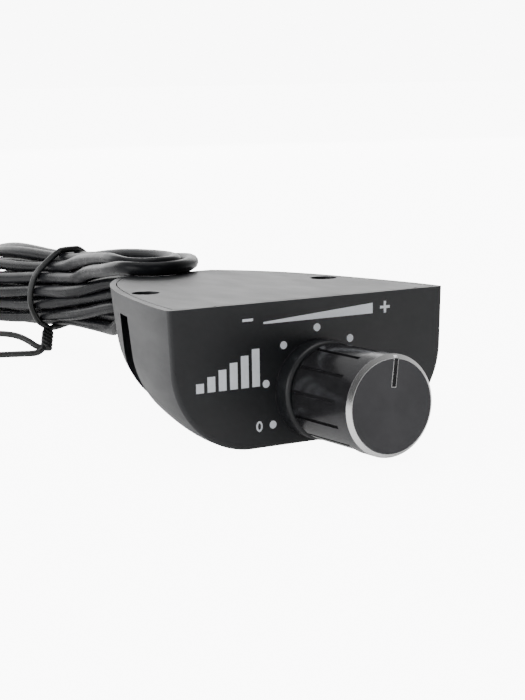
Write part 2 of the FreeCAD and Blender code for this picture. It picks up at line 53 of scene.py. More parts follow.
FACE_Y = -20.0            # these four are places of the CAD model that its boxes don't give
REAR_Y = 25.0
KNOB_X = 0.8
KNOB_Z = 8.05
CORD_D = 2.4
CORD_R = CORD_D / 2


# ---- camera -----------------------------------------------------------------------------------------
def make_camera():
    """Camera low at the front left, on a long lens; distance and target in metres."""
    azimuth = math.radians(31.66)
    elevation = math.radians(8.61)
    roll = math.radians(-0.96)
    distance = 0.25434
    target = Vector((-0.01193, -0.025, 0.01566))
    back = Vector((-math.sin(azimuth) * math.cos(elevation), -math.cos(azimuth) * math.cos(elevation),
                   math.sin(elevation)))
    data = bpy.data.cameras.new("camera")
    data.lens = 91.0
    data.sensor_width = 36.0
    data.clip_start = 0.01
    camera = bpy.data.objects.new("camera", data)
    turn = (-back).to_track_quat("-Z", "Y").to_matrix().to_4x4() @ Matrix.Rotation(roll, 4, "Z")
    camera.matrix_world = Matrix.Translation(target + back * distance) @ turn
    bpy.context.collection.objects.link(camera)
    bpy.context.scene.camera = camera


# ---- lights and backdrop ----------------------------------------------------------------------------
SEEN_WHITE = 9.0          # strength of the backdrop and the floor as the camera sees them
FLOOR_GLOW = 0.4          # strength of the floor for all other light


def make_light(name, place, aim, size, power):
    """One soft rectangular light; places and size in metres."""
    data = bpy.data.lights.new(name, "AREA")
    data.shape = "RECTANGLE"
    data.size, data.size_y = size
    data.energy = power
    light = bpy.data.objects.new(name, data)
    light.location = place
    light.rotation_euler = (Vector(aim) - Vector(place)).to_track_quat("-Z", "Y").to_euler()
    light.visible_camera = False
    bpy.context.collection.objects.link(light)


def make_studio():
    """Soft lights, and a world that is brighter behind than in front and nearly white to the camera."""
    world = bpy.data.worlds.new("studio")
    world.use_nodes = True
    tree = world.node_tree
    ambient = tree.nodes["Background"]
    ambient.inputs["Strength"].default_value = 1.0
    split = tree.nodes.new("ShaderNodeSeparateXYZ")
    tree.links.new(tree.nodes.new("ShaderNodeTexCoord").outputs["Generated"], split.inputs[0])
    depth = tree.nodes.new("ShaderNodeMapRange")
    for index, number in ((1, -0.55), (2, 0.35), (3, 0.10), (4, 0.75)):
        depth.inputs[index].default_value = number
    tree.links.new(split.outputs[1], depth.inputs[0])
    tree.links.new(depth.outputs[0], ambient.inputs["Color"])
    backdrop = tree.nodes.new("ShaderNodeBackground")
    backdrop.inputs["Color"].default_value = (1, 1, 1, 1)
    backdrop.inputs["Strength"].default_value = SEEN_WHITE
    seen = tree.nodes.new("ShaderNodeLightPath")
    choice = tree.nodes.new("ShaderNodeMixShader")
    tree.links.new(seen.outputs["Is Camera Ray"], choice.inputs[0])
    tree.links.new(ambient.outputs[0], choice.inputs[1])
    tree.links.new(backdrop.outputs[0], choice.inputs[2])
    tree.links.new(choice.outputs[0], tree.nodes["World Output"].inputs["Surface"])
    bpy.context.scene.world = world
    make_light("side_light", (-1.0, 0.15, 0.30), (0, 0, 0.01), (0.8, 0.5), 7.4)
    make_light("rear_light", (0.35, 1.15, 0.32), (0, 0, 0.02), (1.6, 0.5), 6.4)
    make_light("top_light", (0.0, 0.2, 1.0), (0, 0.02, 0), (0.8, 0.8), 4.6)
    make_light("front_light", (-0.35, -0.9, 0.35), (0, 0, 0.01), (0.35, 0.35), 1.15)


# ---- material helpers -------------------------------------------------------------------------------
class Shade:
    """A node material under construction."""

    def __init__(self, name):
        self.material = bpy.data.materials.new(name)
        self.material.use_nodes = True
        self.tree = self.material.node_tree
        self.shader = self.tree.nodes["Principled BSDF"]
        self.place = self.add("ShaderNodeTexCoord").outputs["Object"]

    def add(self, kind, **values):
        """New node; values are its own properties."""
        node = self.tree.nodes.new(kind)
        for key, value in values.items():
            setattr(node, key, value)
        return node

    def link(self, start, end):
        """Joins two sockets."""
        self.tree.links.new(start, end)

    def put(self, socket, value):
        """Sets a socket to a number, a colour or another socket."""
        if isinstance(value, bpy.types.NodeSocket):
            self.link(value, socket)
        elif isinstance(value, (tuple, list)) and socket.type == "RGBA":
            socket.default_value = tuple(value) + (1.0,) * (4 - len(value))
        else:
            socket.default_value = value

    def set(self, **values):
        """Sets inputs of the main shader, with _ for a space."""
        for key, value in values.items():
            self.put(self.shader.inputs[key.replace("_", " ")], value)

    def math(self, kind, a, b=0.0, clamp=False):
        """One arithmetic step."""
        node = self.add("ShaderNodeMath", operation=kind, use_clamp=clamp)
        self.put(node.inputs[0], a)
        self.put(node.inputs[1], b)
        return node.outputs[0]

    def noise(self, size_mm, detail=3.0, stretch=None, rough=0.55):
        """Noise whose features are about this size."""
        source = self.place
        if stretch:
            mapping = self.add("ShaderNodeMapping")
            mapping.inputs["Scale"].default_value = stretch
            self.link(source, mapping.inputs["Vector"])
            source = mapping.outputs["Vector"]
        node = self.add("ShaderNodeTexNoise")
        node.inputs["Scale"].default_value = 1.0 / (size_mm * MM)
        node.inputs["Detail"].default_value = detail
        node.inputs["Roughness"].default_value = rough
        self.link(source, node.inputs["Vector"])
        return node.outputs["Fac"]

    def span(self, value, low, high, out_low, out_high):
        """Maps a range onto another, held at its ends."""
        node = self.add("ShaderNodeMapRange")
        for index, number in enumerate((value, low, high, out_low, out_high)):
            self.put(node.inputs[index], number)
        return node.outputs[0]

    def mix(self, factor, a, b):
        """Mixes two colours."""
        node = self.add("ShaderNodeMix", data_type="RGBA")
        self.put(node.inputs[0], factor)
        self.put(node.inputs[6], a)
        self.put(node.inputs[7], b)
        return node.outputs[2]

    def bump(self, height, depth_mm, under=None):
        """Bump from a height between 0 and 1; under is a bump that it lies on."""
        node = self.add("ShaderNodeBump")
        node.inputs["Strength"].default_value = 1.0
        node.inputs["Distance"].default_value = depth_mm * MM
        self.put(node.inputs["Height"], height)
        if under:
            self.link(under, node.inputs["Normal"])
        return node.outputs["Normal"]

    def edges(self, radius_mm):
        """1 on sharp edges, 0 on flats."""
        bevel = self.add("ShaderNodeBevel", samples=4)
        bevel.inputs["Radius"].default_value = radius_mm * MM
        flat = self.add("ShaderNodeNewGeometry").outputs["Normal"]
        dot = self.add("ShaderNodeVectorMath", operation="DOT_PRODUCT")
        self.link(bevel.outputs["Normal"], dot.inputs[0])
        self.link(flat, dot.inputs[1])
        return self.span(dot.outputs["Value"], 0.995, 0.9, 0.0, 1.0)

    def axis_parts(self):
        """X, Y, Z of the object's own place."""
        split = self.add("ShaderNodeSeparateXYZ")
        self.link(self.place, split.inputs[0])
        return split.outputs


def grey(value, blue=1.0):
    """Neutral colour with a little more or less blue."""
    return (value, value, value * blue)


def moulded(name, colour, roughness=0.5, grain_mm=0.3, grain_depth=0.02):
    """Moulded plastic or rubber: fine grain, uneven sheen, faint dust and rubbed edges."""
    s = Shade(name)
    grain = s.noise(grain_mm, 2.0)
    cloud = s.noise(9.0, 4.0)
    rubbed = s.math("MULTIPLY", s.edges(0.35), s.span(s.noise(2.5, 4.0), 0.4, 0.65, 0.0, 0.5), True)
    specks = s.span(s.noise(0.5, 1.0), 0.68, 0.78, 0.0, 1.0)
    lighter = tuple(min(1.0, c * 1.5 + 0.02) for c in colour)
    base = s.mix(s.span(cloud, 0.35, 0.65, 0.0, 0.35), colour, lighter)
    base = s.mix(s.math("MULTIPLY", specks, 0.35), base, grey(0.18))
    s.set(Base_Color=s.mix(rubbed, base, lighter))
    rough = s.span(cloud, 0.3, 0.7, roughness - 0.05, roughness + 0.06)
    s.set(Roughness=s.math("SUBTRACT", rough, s.math("MULTIPLY", rubbed, 0.12)))
    s.set(Normal=s.bump(grain, grain_depth))
    return s.material


def metal(name, colour, roughness=0.3, brushed=(1, 1, 1), mark=0.004):
    """Bare or plated metal with fine working marks and uneven polish."""
    s = Shade(name)
    lines = s.noise(0.12, 2.0, brushed)
    cloud = s.noise(3.0, 4.0)
    darker = tuple(c * 0.75 for c in colour)
    s.set(Base_Color=s.mix(s.span(cloud, 0.35, 0.7, 0.0, 0.6), colour, darker), Metallic=1.0)
    s.set(Roughness=s.span(s.noise(0.8, 3.0), 0.3, 0.7, roughness - 0.06, roughness + 0.1))
    s.set(Normal=s.bump(lines, mark))
    return s.material


# ---- materials of the CAD parts -----------------------------------------------------------------------
def housing_plastic():
    """Charcoal ABS with a fine spark-eroded texture."""
    s = Shade("housing_plastic")
    fine = s.noise(0.16, 2.0, rough=0.6)
    coarse = s.noise(0.42, 2.0)
    cloud = s.noise(14.0, 5.0)
    smear = s.noise(5.0, 3.0, (1.0, 0.35, 1.6))
    edge = s.math("MULTIPLY", s.edges(0.18), s.span(s.noise(1.8, 4.0), 0.38, 0.62, 0.2, 0.9), True)
    specks = s.span(s.noise(0.5, 1.0), 0.72, 0.80, 0.0, 0.25)
    base = s.mix(s.span(cloud, 0.3, 0.7, 0.0, 1.0), (0.0075, 0.0083, 0.0102), (0.0110, 0.0120, 0.0142))
    base = s.mix(edge, base, grey(0.05, 1.03))
    s.set(Base_Color=s.mix(specks, base, grey(0.035)))
    rough = s.span(smear, 0.3, 0.7, 0.40, 0.47)
    s.set(Roughness=s.math("SUBTRACT", rough, s.math("MULTIPLY", edge, 0.08)))
    height = s.math("ADD", s.math("MULTIPLY", fine, 0.5), s.math("MULTIPLY", coarse, 0.5))
    s.set(Normal=s.bump(height, 0.02))
    return s.material


# Front of the knob. Each pair is where a zone begins and where it is complete, which keeps its
# border soft: radius of the chamfer, and depths of the chamfer, the face and the pointer's groove.
RIM_R = (6.84, 6.92)
CHAMFER_DEPTH = (0.64, 0.58)
FACE_DEPTH = (0.04, 0.02)
GROOVE_DEPTH = (0.38, 0.34)
RING_STEP = 0.16          # spacing of the turning marks


def knob_aluminium():
    """Black anodised knob: glossy grip, turned front painted a little lighter as a painted sheen, bright
    cut chamfer and pointer.
    """
    s = Shade("knob_aluminium")
    x, y, z = s.axis_parts()
    dx = s.math("SUBTRACT", x, KNOB_X * MM)
    dz = s.math("SUBTRACT", z, KNOB_Z * MM)
    squares = s.math("ADD", s.math("MULTIPLY", dx, dx), s.math("MULTIPLY", dz, dz))
    radius = s.math("SQRT", squares)
    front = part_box("knob_sleeve")[0][1]

    def nearer(depth):
        """1 where the surface is less deep behind the front than this."""
        return s.span(y, front + depth[0] * MM, front + depth[1] * MM, 0.0, 1.0)

    chamfer = s.math("MULTIPLY", s.span(radius, RIM_R[0] * MM, RIM_R[1] * MM, 0.0, 1.0),
                     nearer(CHAMFER_DEPTH))
    on_front = nearer(FACE_DEPTH)
    within = s.span(radius, RIM_R[1] * MM, RIM_R[0] * MM, 0.0, 1.0)
    walls = s.math("MULTIPLY", s.math("SUBTRACT", 1.0, on_front), nearer(GROOVE_DEPTH))
    lips = s.math("MULTIPLY", on_front, s.math("MULTIPLY", s.edges(0.16), 1.6, True))
    pointer = s.math("MULTIPLY", s.math("MAXIMUM", walls, lips), within)
    bright = s.math("MAXIMUM", chamfer, pointer)
    rings = s.math("SINE", s.math("MULTIPLY", radius, 2 * math.pi / (RING_STEP * MM)))
    ridges = s.math("ADD", s.math("MULTIPLY", rings, 0.5), 0.5)
    turned = s.math("MULTIPLY", s.math("MULTIPLY", on_front, within), ridges)
    cloud = s.noise(2.5, 4.0)
    black = s.mix(s.span(cloud, 0.3, 0.7, 0.0, 1.0), (0.024, 0.024, 0.026), (0.036, 0.036, 0.039))
    # Painted sheen: the front face's black is mixed towards a lighter bluish grey to stand in for the light
    # that falls on that face
    black = s.mix(s.math("MULTIPLY", on_front, 0.6), black, grey(0.06, 1.08))
    worn = s.math("MULTIPLY", s.edges(0.12), s.span(s.noise(0.7, 4.0), 0.48, 0.66, 0.0, 0.5), True)
    base = s.mix(worn, black, grey(0.16))
    s.set(Base_Color=s.mix(bright, base, grey(0.86)))
    s.set(Metallic=s.math("MAXIMUM", bright, 0.55))
    dull = s.span(s.noise(1.2, 4.0), 0.3, 0.7, 0.17, 0.23)
    s.set(Roughness=s.math("ADD", dull, s.math("MULTIPLY", on_front, 0.12)), Anisotropic=0.7)
    round_axis = s.add("ShaderNodeTangent", direction_type="RADIAL", axis="Y")
    s.set(Tangent=round_axis.outputs[0])
    grain = s.bump(s.noise(0.25, 1.0), 0.0004)
    s.set(Normal=s.bump(turned, 0.004, under=grain))
    return s.material


def cable_jacket():
    """Black PVC sheath: satin, faint scuffs and dust."""
    s = Shade("cable_jacket")
    scuff = s.noise(2.2, 5.0, rough=0.7)
    cloud = s.noise(8.0, 3.0)
    base = s.mix(s.span(cloud, 0.3, 0.7, 0.0, 1.0), (0.005, 0.0054, 0.0066), (0.011, 0.0115, 0.0135))
    base = s.mix(s.span(scuff, 0.60, 0.74, 0.0, 0.35), base, grey(0.04))
    s.set(Base_Color=base)
    s.set(Roughness=s.span(scuff, 0.3, 0.7, 0.24, 0.36), Specular_IOR_Level=0.08)
    s.set(Normal=s.bump(s.noise(0.5, 2.0), 0.006))
    return s.material


def circuit_laminate():
    """Green solder mask with faint copper tracks under it and a glass weave."""
    s = Shade("board_laminate")
    brick = s.add("ShaderNodeTexBrick", offset=0.5)
    brick.inputs["Scale"].default_value = 220.0
    brick.inputs["Mortar Size"].default_value = 0.06
    s.link(s.place, brick.inputs["Vector"])
    weave = s.noise(0.3, 2.0, (1, 6, 1))
    base = s.mix(brick.outputs["Fac"], (0.012, 0.09, 0.035), (0.03, 0.17, 0.06))
    s.set(Base_Color=base, Roughness=s.span(weave, 0.3, 0.7, 0.25, 0.4))
    s.set(Normal=s.bump(weave, 0.01))
    return s.material


def dress_cad_parts():
    """Gives the CAD nodes that stay in view their materials."""
    pot_plastic = moulded("pot_plastic", grey(0.02), 0.45, 0.2)
    plated = metal("plated_steel", (0.62, 0.62, 0.60), 0.32)
    nickel = metal("nickel_plating", (0.70, 0.67, 0.62), 0.24, (1, 8, 1))
    contact = metal("contact_metal", (0.74, 0.71, 0.66), 0.16, (1, 8, 1), 0.002)
    jacket = cable_jacket()
    plug_plastic = moulded("plug_plastic", grey(0.016), 0.46, 0.25, 0.02)
    finishes = {
        housing_plastic(): ("housing_shell", "screw_boss_right", "screw_boss_left", "top_cover"),
        circuit_laminate(): ("circuit_board",),
        plated: ("board_screws", "pot_plate", "lock_washer"),
        pot_plastic: ("pot_case", "wiper_carrier"),
        nickel: ("pot_bushing", "pot_terminals", "panel_nut"),
        moulded("wafer_laminate", (0.16, 0.08, 0.03), 0.5, 0.3): ("pot_wafer",),
        metal("shaft_metal", (0.76, 0.76, 0.78), 0.28, (1, 10, 1)): ("pot_shaft",),
        metal("spring_bronze", (0.72, 0.47, 0.24), 0.25): ("wiper_springs",),
        knob_aluminium(): ("knob_sleeve",),
        moulded("insert_plastic", grey(0.018), 0.5, 0.25): ("knob_insert",),
        moulded("relief_rubber", grey(0.014, 1.05), 0.6, 0.22, 0.03): ("strain_relief",),
        jacket: ("cable_inside",),
        moulded("tie_nylon", (0.62, 0.6, 0.54), 0.42, 0.5, 0.01): ("inner_tie",),
        moulded("wire_insulation", (0.42, 0.02, 0.018), 0.38, 0.4, 0.005): ("lead_wires",),
        plug_plastic: ("plug_grip", "plug_insulators"),
        contact: ("plug_sleeve", "plug_ring", "plug_tip"),
    }
    for material, nodes in finishes.items():
        for name in nodes:
            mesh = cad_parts[name].data
            mesh.materials.clear()
            mesh.materials.append(material)
    return jacket


# ---- making pieces ------------------------------------------------------------------------------------
def curve_piece(name, points_mm, radius_mm, material, resolution=6):
    """Round wire or cord: one open NURBS spline along the control points."""
    data = bpy.data.curves.new(name, "CURVE")
    data.dimensions = "3D"
    data.resolution_u = resolution
    data.bevel_depth = radius_mm * MM
    data.bevel_resolution = 4
    data.use_fill_caps = True
    spline = data.splines.new("NURBS")
    spline.points.add(len(points_mm) - 1)
    for point, place in zip(spline.points, points_mm):
        point.co = (place[0] * MM, place[1] * MM, place[2] * MM, 1.0)
    spline.order_u = 3
    spline.use_endpoint_u = True
    data.materials.append(material)
    piece = bpy.data.objects.new(name, data)
    bpy.context.collection.objects.link(piece)
    return piece


# ---- the cable ----------------------------------------------------------------------------------------
# Its route in millimetres: the lead from the box to the tie, and the end that carries the plug.
LEAD_ROUTE = [(0, 38.2, 13.3), (0, 42.0, 11.9), (0.9, 46.2, 10.1), (2.5, 50.4, 9.1),
              (4.1, 55.0, 8.6), (5.3, 60.0, 8.3), (6.0, 65.5, 8.1), (6.5, 71.0, 8.0)]
END_ROUTE = [(12.0, 210.0, 5.0), (12.4, 219.0, 3.0), (10.5, 228.0, 1.6), (3.5, 234.5, 1.3),
             (-5.5, 234.0, 1.3), (-11.5, 227.0, 1.5), (-13.5, 218.0, 2.4), (-13.6, 209.0, 3.5)]
# Outline of the hank: (y, x, z, half width, half height). It is narrowest in its tie.
TIE = (86.0, 9.1, 13.2, 6.1, 7.2)
HANK_SECTIONS = [(50.0, 11.0, 14.6, 9.4, 7.6), (68.0, 9.2, 14.2, 7.8, 7.5), TIE,
                 (112.0, 10.0, 12.0, 8.8, 9.6), (150.0, 13.0, 9.6, 11.0, 8.3),
                 (185.0, 15.0, 7.6, 13.0, 6.6), (210.0, 16.0, 7.0, 13.0, 6.0)]
# Section behind the tie where a strand has the same place as in the tie.
SHOULDER = (112.0, 10.0, 12.0, 8.6, 9.4)
# Loops hidden behind the box, lowest first: x of the left and right leg, height of the left leg,
# and the legs' places across and up in the tie, from -1 to 1.
HIDDEN_LOOPS = [((6.2, 17.2, 9.0), (0.14, -0.50), (0.36, -0.80)),
                ((3.9, 19.5, 11.6), (-0.24, -0.46), (0.62, -0.50)),
                ((6.2, 17.2, 12.3), (-0.04, -0.15), (0.36, -0.16)),
                ((3.0, 19.6, 13.9), (-0.42, -0.74), (0.76, -0.18)),
                ((6.2, 17.2, 15.6), (-0.44, -0.15), (0.42, 0.15)),
                ((3.9, 19.5, 16.1), (-0.66, -0.48), (0.82, 0.14)),
                ((3.0, 19.6, 18.2), (-0.84, -0.16), (0.62, 0.50)),
                ((6.2, 17.2, 18.9), (-0.42, 0.17), (0.21, 0.47))]
LEG_DROP = 3.0            # how much lower the right legs are
# The two loops that lie on the cover, from the right leg round to the left one.
COVER_LOOPS = [
    [(7.2, 52.0, 22.2), (7.6, 47.0, 22.6), (8.0, 42.0, 22.8), (7.5, 38.6, 23.0), (6.8, 35.6, 23.0),
     (6.0, 32.9, 23.0), (5.0, 30.8, 23.0), (3.2, 29.3, 23.0), (0.9, 28.7, 23.0), (-1.5, 29.1, 23.0),
     (-3.4, 30.5, 23.0), (-4.5, 32.6, 23.0), (-4.8, 35.2, 23.0), (-4.4, 38.0, 23.0),
     (-3.7, 41.2, 22.9), (-2.7, 44.6, 22.8), (-1.4, 48.4, 22.5), (0.3, 53.0, 22.0)],
    [(9.9, 53.0, 21.5), (9.9, 48.0, 21.8), (10.0, 43.0, 22.1), (10.0, 38.0, 22.5), (9.3, 33.6, 22.9),
     (7.8, 29.8, 23.0), (5.6, 26.6, 23.0), (3.1, 23.8, 23.0), (0.8, 22.0, 23.0), (-1.4, 21.2, 23.0),
     (-3.7, 21.5, 23.0), (-5.7, 22.8, 23.0), (-6.9, 24.8, 23.0), (-7.2, 27.2, 22.9), (-7.0, 30.0, 22.8),
     (-6.2, 34.0, 22.4), (-4.9, 39.0, 21.9), (-3.9, 44.0, 21.2), (-3.0, 49.0, 20.5), (-2.2, 55.0, 19.6)]]
BEGIN = (6.8, 75.5, 8.0)  # where the lead has joined the hank, and its place in the tie
BEGIN_TIED = (-0.03, -0.80)
STEP = 4.0                # spacing of the points along the hank
TURN_STEP = 2.6           # spacing of the points round a turn
NEAR_Y = 44.2             # middle of the turns behind the box
NEAR_SKEW = 0.35          # how much farther back a turn lies per millimetre of its left leg's x
LOWEST_LEG = 6.5
FAR_Y = 196.0             # middle of the outermost turn at the far end, and its two legs
FAR_LEFT = 3.6
FAR_RIGHT = 28.4
FAR_PER_LAYER = 3
FAR_PITCH = 2.6           # from turn to turn in a layer
LAYER_HEIGHT = 2.5
LAYER_BACK = 4.5          # how far a layer steps back from the one below
UNEVEN = 0.4              # how unevenly the turns lie at both ends
ROUNDS = 460              # of settling
WIDENING = 120            # rounds in which the strands reach their full width
LAST_ROUNDS = 80          # rounds at the end with softer bending
FIRM = 0.10               # how firmly bends are evened out, and at the end
FIRM_LAST = 0.06
FIRM_LENGTH = 0.12
NEAR_TURNS_END = 52       # turns lie nearer to the box than this y, and farther than the next
FAR_TURNS_BEGIN = 184
HELD_END = 200            # the outline holds the strands from the near turns up to this y
COVER_END = 40            # the loops lie on the cover up to this y
RISING_END = 72           # up to this y, strands that began above this z may stand out of the hank
RISING_Z = 18.5
PULL_TURN = 0.05          # share of the way back to its first place, in each round
PULL_COVER = 0.08
SLACK = 0.35              # room that the outline leaves
PULL_OUTLINE = 0.08       # share of the way back to the outline, and near the tie
PULL_TIE = 0.6
TIE_REACH = 6
FIRST_WIDTH = 0.6         # width that the strands keep free, in diameters, and how much it grows
WIDTH_GROWTH = 0.44
SPREAD = 0.12             # share of an overlap that a strand gives way in one step
LONGEST_STEP = 0.4
GROUND_GAP = 0.05
COVER_GAP = 0.03
BLOCK = 200               # points compared at a time
NEIGHBOURS = 3            # stretches that are too near along the cable to compare
TIE_WIRE_R = 0.62
TIE_SLOPE = 0.45          # how far the tie leans, top towards the box
TIE_START = -112          # degrees, where the tie's ends leave the ring
TIE_PARTS = 30
TWISTS = 2.5              # turns of the tie's ends round each other
TWIST_R = 0.72
TWIST_PARTS = 16


def round_turn(left, right, y, z_left, z_right, outward):
    """Half circle from the right leg of a turn to its left one, which may lie at another height."""
    radius = (right - left) / 2
    count = round(math.pi * radius / TURN_STEP)
    points = []
    for k in range(count + 1):
        angle = math.pi * k / count
        across = (1 + math.cos(angle)) / 2
        points.append((left + 2 * radius * across, y + outward * radius * math.sin(angle),
                       z_left + (z_right - z_left) * across))
    return points


def near_turns(pick):
    """Turns at the box, each with the places of its left and right legs in the tie."""
    turns = []
    for (left, right, z), tied_left, tied_right in HIDDEN_LOOPS:
        y = NEAR_Y + NEAR_SKEW * left + pick.uniform(-UNEVEN, UNEVEN)
        turn = round_turn(left, right, y, z, max(z - LEG_DROP, LOWEST_LEG), -1)
        turns.append((turn, tied_left, tied_right))
    turns.append((COVER_LOOPS[0], (-0.50, 0.42), (-0.28, 0.79)))
    turns.append((COVER_LOOPS[1], (-0.80, 0.18), (0.14, 0.80)))
    return turns


def far_turns(pick, count):
    """Turns at the far end, in layers on the ground that step back as they rise."""
    turns = []
    for index in range(count):
        layer, place = divmod(index, FAR_PER_LAYER)
        y = FAR_Y - LAYER_BACK * layer - 0.5 * place - pick.uniform(0, UNEVEN)
        z = CORD_R + 0.1 + LAYER_HEIGHT * layer
        turns.append(round_turn(FAR_LEFT + FAR_PITCH * place, FAR_RIGHT - FAR_PITCH * place, y, z, z, 1))
    return turns


def strand(*stops):
    """Points along a strand by way of its stops, which it passes level and straight."""
    points = []
    for start, stop in zip(stops[:-1], stops[1:]):
        start, stop = np.array(start), np.array(stop)
        count = max(1, round((stop[1] - start[1]) / STEP))
        for k in range(count):
            along = k / count
            place = start + (stop - start) * along * along * (3 - 2 * along)
            place[1] = start[1] + (stop[1] - start[1]) * along
            points.append(tuple(place))
    return points + [tuple(stops[-1])]


def in_hank(section, place):
    """Point in a section of the hank from its place across and up, each from -1 to 1."""
    y, x, z, wide, high = section
    return (x + wide * place[0], y, z + high * place[1])


def first_route():
    """The cable before it settles: left strands run away from the box, right ones come back."""
    pick = random.Random(11)
    near = near_turns(pick)
    far = far_turns(pick, len(near))
    route = list(LEAD_ROUTE)
    begin = BEGIN
    tied = BEGIN_TIED
    for (turn, left, right), end in zip(near, far):
        route += strand(begin, in_hank(TIE, tied), in_hank(SHOULDER, tied), end[-1])
        route += end[-2:0:-1]
        route += strand(turn[0], in_hank(TIE, right), in_hank(SHOULDER, right), end[0])[::-1]
        route += turn[1:-1]
        begin = turn[-1]
        tied = left
    route += strand(begin, in_hank(TIE, tied), in_hank(SHOULDER, tied), END_ROUTE[0])
    return np.array(route + END_ROUTE[1:])


def close_pairs(points, reach):
    """Points, and the stretches of the cable near each that aren't its neighbours."""
    order = np.arange(len(points))
    first = []
    second = []
    for start in range(0, len(points), BLOCK):
        block = points[start:start + BLOCK]
        near = np.linalg.norm(block[:, None] - points[None, :-1], axis=2) < reach
        near &= np.abs(order[None, :-1] + 0.5 - order[start:start + BLOCK, None]) > NEIGHBOURS
        rows, columns = np.nonzero(near)
        first.append(rows + start)
        second.append(columns)
    return np.concatenate(first), np.concatenate(second)


def push_apart(points, fixed, pairs, width):
    """Moves points away from stretches of the cable that are nearer than its width."""
    a, b = pairs
    span = points[b + 1] - points[b]
    along = np.clip(((points[a] - points[b]) * span).sum(1) / (span * span).sum(1), 0, 1)[:, None]
    gap = points[a] - points[b] - along * span
    far = np.linalg.norm(gap, axis=1)
    push = (SPREAD * np.clip(width - far, 0, None) / np.maximum(far, 0.1))[:, None] * gap
    move = np.zeros_like(points)
    for axis in range(3):
        move[:, axis] += np.bincount(a, push[:, axis], len(points))
        move[:, axis] -= np.bincount(b, (push * (1 - along))[:, axis], len(points))
        move[:, axis] -= np.bincount(b + 1, (push * along)[:, axis], len(points))
    length = np.linalg.norm(move, axis=1)
    move *= np.minimum(1, LONGEST_STEP / np.maximum(length, 1e-9))[:, None]
    move[fixed] = 0
    return points + move


def stiffen(points, rest, firm):
    """Movement that evens out bends and keeps the cable's length."""
    second = np.zeros_like(points)
    second[1:-1] = points[:-2] + points[2:] - 2 * points[1:-1]
    fourth = np.zeros_like(points)
    fourth[1:-1] = second[:-2] + second[2:] - 2 * second[1:-1]
    move = -firm * fourth
    span = np.diff(points, axis=0)
    size = np.linalg.norm(span, axis=1)
    pull = (FIRM_LENGTH * (size - rest) / size)[:, None] * span
    move[:-1] += pull
    move[1:] -= pull
    return move


def hold_together(points, free):
    """Draws strands that stand out of the hank back to its outline, firmly at the tie."""
    ys = [section[0] for section in HANK_SECTIONS]
    x, z, wide, high = [np.interp(points[:, 1], ys, [s[i] for s in HANK_SECTIONS]) for i in range(1, 5)]
    wide = wide - CORD_R + SLACK
    high = high - CORD_R + SLACK
    off_x = (points[:, 0] - x) / wide
    off_z = (points[:, 2] - z) / high
    out = np.hypot(off_x, off_z)
    over = free & (out > 1)
    firm = np.where(np.abs(points[:, 1] - TIE[0]) < TIE_REACH, PULL_TIE, PULL_OUTLINE)
    points[over, 0] += (firm * (x + off_x / out * wide - points[:, 0]))[over]
    points[over, 2] += (firm * (z + off_z / out * high - points[:, 2]))[over]


def settle(points):
    """Pushes strands a diameter apart and smooths them, in the tie and above ground and cover."""
    home = points.copy()
    fixed = np.zeros(len(points), bool)
    fixed[:len(LEAD_ROUTE) - 1] = True
    fixed[-len(END_ROUTE):] = True
    loop = (home[:, 1] < COVER_END) & (home[:, 2] > TOP_Z)
    turn = (home[:, 1] < NEAR_TURNS_END) | (home[:, 1] > FAR_TURNS_BEGIN)
    rest = np.linalg.norm(np.diff(points, axis=0), axis=1)
    for step in range(ROUNDS):
        if step % 10 == 0:
            pairs = close_pairs(points, 1.5 * CORD_D + STEP / 2)
        move = stiffen(points, rest, FIRM if step < ROUNDS - LAST_ROUNDS else FIRM_LAST)
        move[turn] += PULL_TURN * (home - points)[turn]
        move[loop] += PULL_COVER * (home - points)[loop]
        move[fixed] = 0
        points = points + move
        width = CORD_D * (FIRST_WIDTH + WIDTH_GROWTH * min(1.0, step / WIDENING))
        for _ in range(3):
            points = push_apart(points, fixed, pairs, width)
        rising = (points[:, 1] < RISING_END) & (home[:, 2] > RISING_Z)
        held = (points[:, 1] > NEAR_TURNS_END) & (points[:, 1] < HELD_END)
        hold_together(points, ~fixed & ~rising & held)
        on_cover = loop & (points[:, 1] < REAR_Y + 4)
        ground = np.where(on_cover, TOP_Z + CORD_R + COVER_GAP, CORD_R + GROUND_GAP)
        points[:, 2] = np.where(fixed, points[:, 2], np.maximum(points[:, 2], ground))
    return points


def make_cable(jacket):
    """The whole cable as one spline, with the twist tie round its hank."""
    route = settle(first_route())
    cable = curve_piece("cable", route, CORD_R, jacket, resolution=5)
    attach(cable, "housing")
    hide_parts("cable_lead", "cable_hank", "cable_end")
    tie = make_twist_tie(route)


def tie_ring(route):
    """Closed line round the strands where the tie's leaning plane cuts them, as (x, y, z) points."""
    side = route[:, 1] - TIE[0] + (route[:, 2] - TIE[2]) * TIE_SLOPE
    cut = np.nonzero(side[:-1] * side[1:] < 0)[0]
    along = (side[cut] / (side[cut] - side[cut + 1]))[:, None]
    places = route[cut] + along * (route[cut + 1] - route[cut])
    start = math.radians(TIE_START)
    angles = [start - 2 * math.pi * k / TIE_PARTS for k in range(TIE_PARTS + 1)]

    def reach(angle):
        """How far out the ring's line lies in this direction."""
        return (places[:, 0] * math.cos(angle) + places[:, 2] * math.sin(angle)).max() + CORD_R + TIE_WIRE_R

    ring = []
    for angle in angles:
        out = reach(angle)
        turn = (reach(angle + 0.2) - reach(angle - 0.2)) / 0.4
        x = out * math.cos(angle) - turn * math.sin(angle)
        z = out * math.sin(angle) + turn * math.cos(angle)
        ring.append((x, TIE[0] - (z - TIE[2]) * TIE_SLOPE, z))
    return ring


